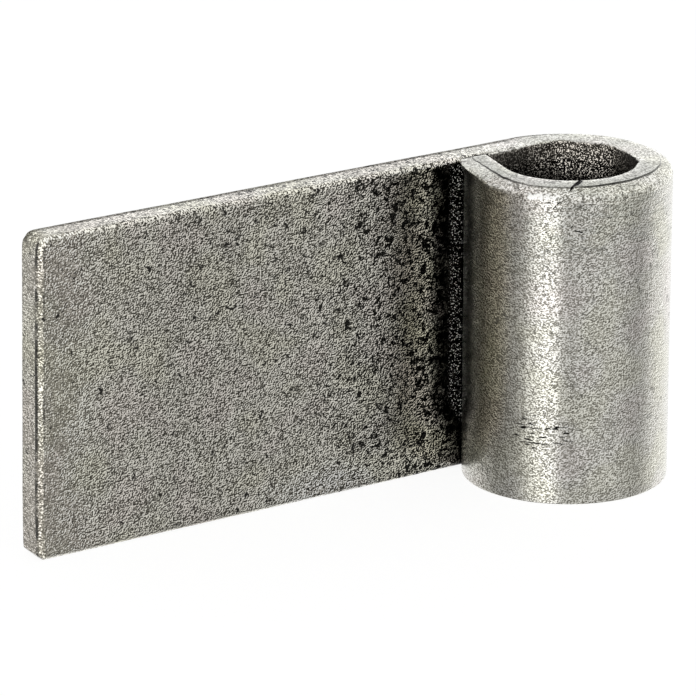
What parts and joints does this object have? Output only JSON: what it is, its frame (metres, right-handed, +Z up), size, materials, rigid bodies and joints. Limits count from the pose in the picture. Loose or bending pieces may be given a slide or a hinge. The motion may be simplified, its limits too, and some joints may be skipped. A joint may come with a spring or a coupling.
{
  "type": "weld-on hinge half",
  "caption": "Flat steel bar rolled at one end into an eye for a hinge pin, with a plain leaf that is welded to a gate or door frame.",
  "frame": {"origin": "middle of the eye's bore, on the pivot axis halfway up the bar's width", "axes": "+Z up the pivot axis, the leaf towards -X, its back (the side laid on the frame) towards +Y, the eye rolled towards -Y"},
  "size_m": [0.0837, 0.0254, 0.04],
  "materials": {
    "bare_steel": "raw, tumbled, finely pitted mild steel"
  },
  "bodies": {
    "root": {"hinge_leaf": "bare_steel"}
  },
  "joints": []
}
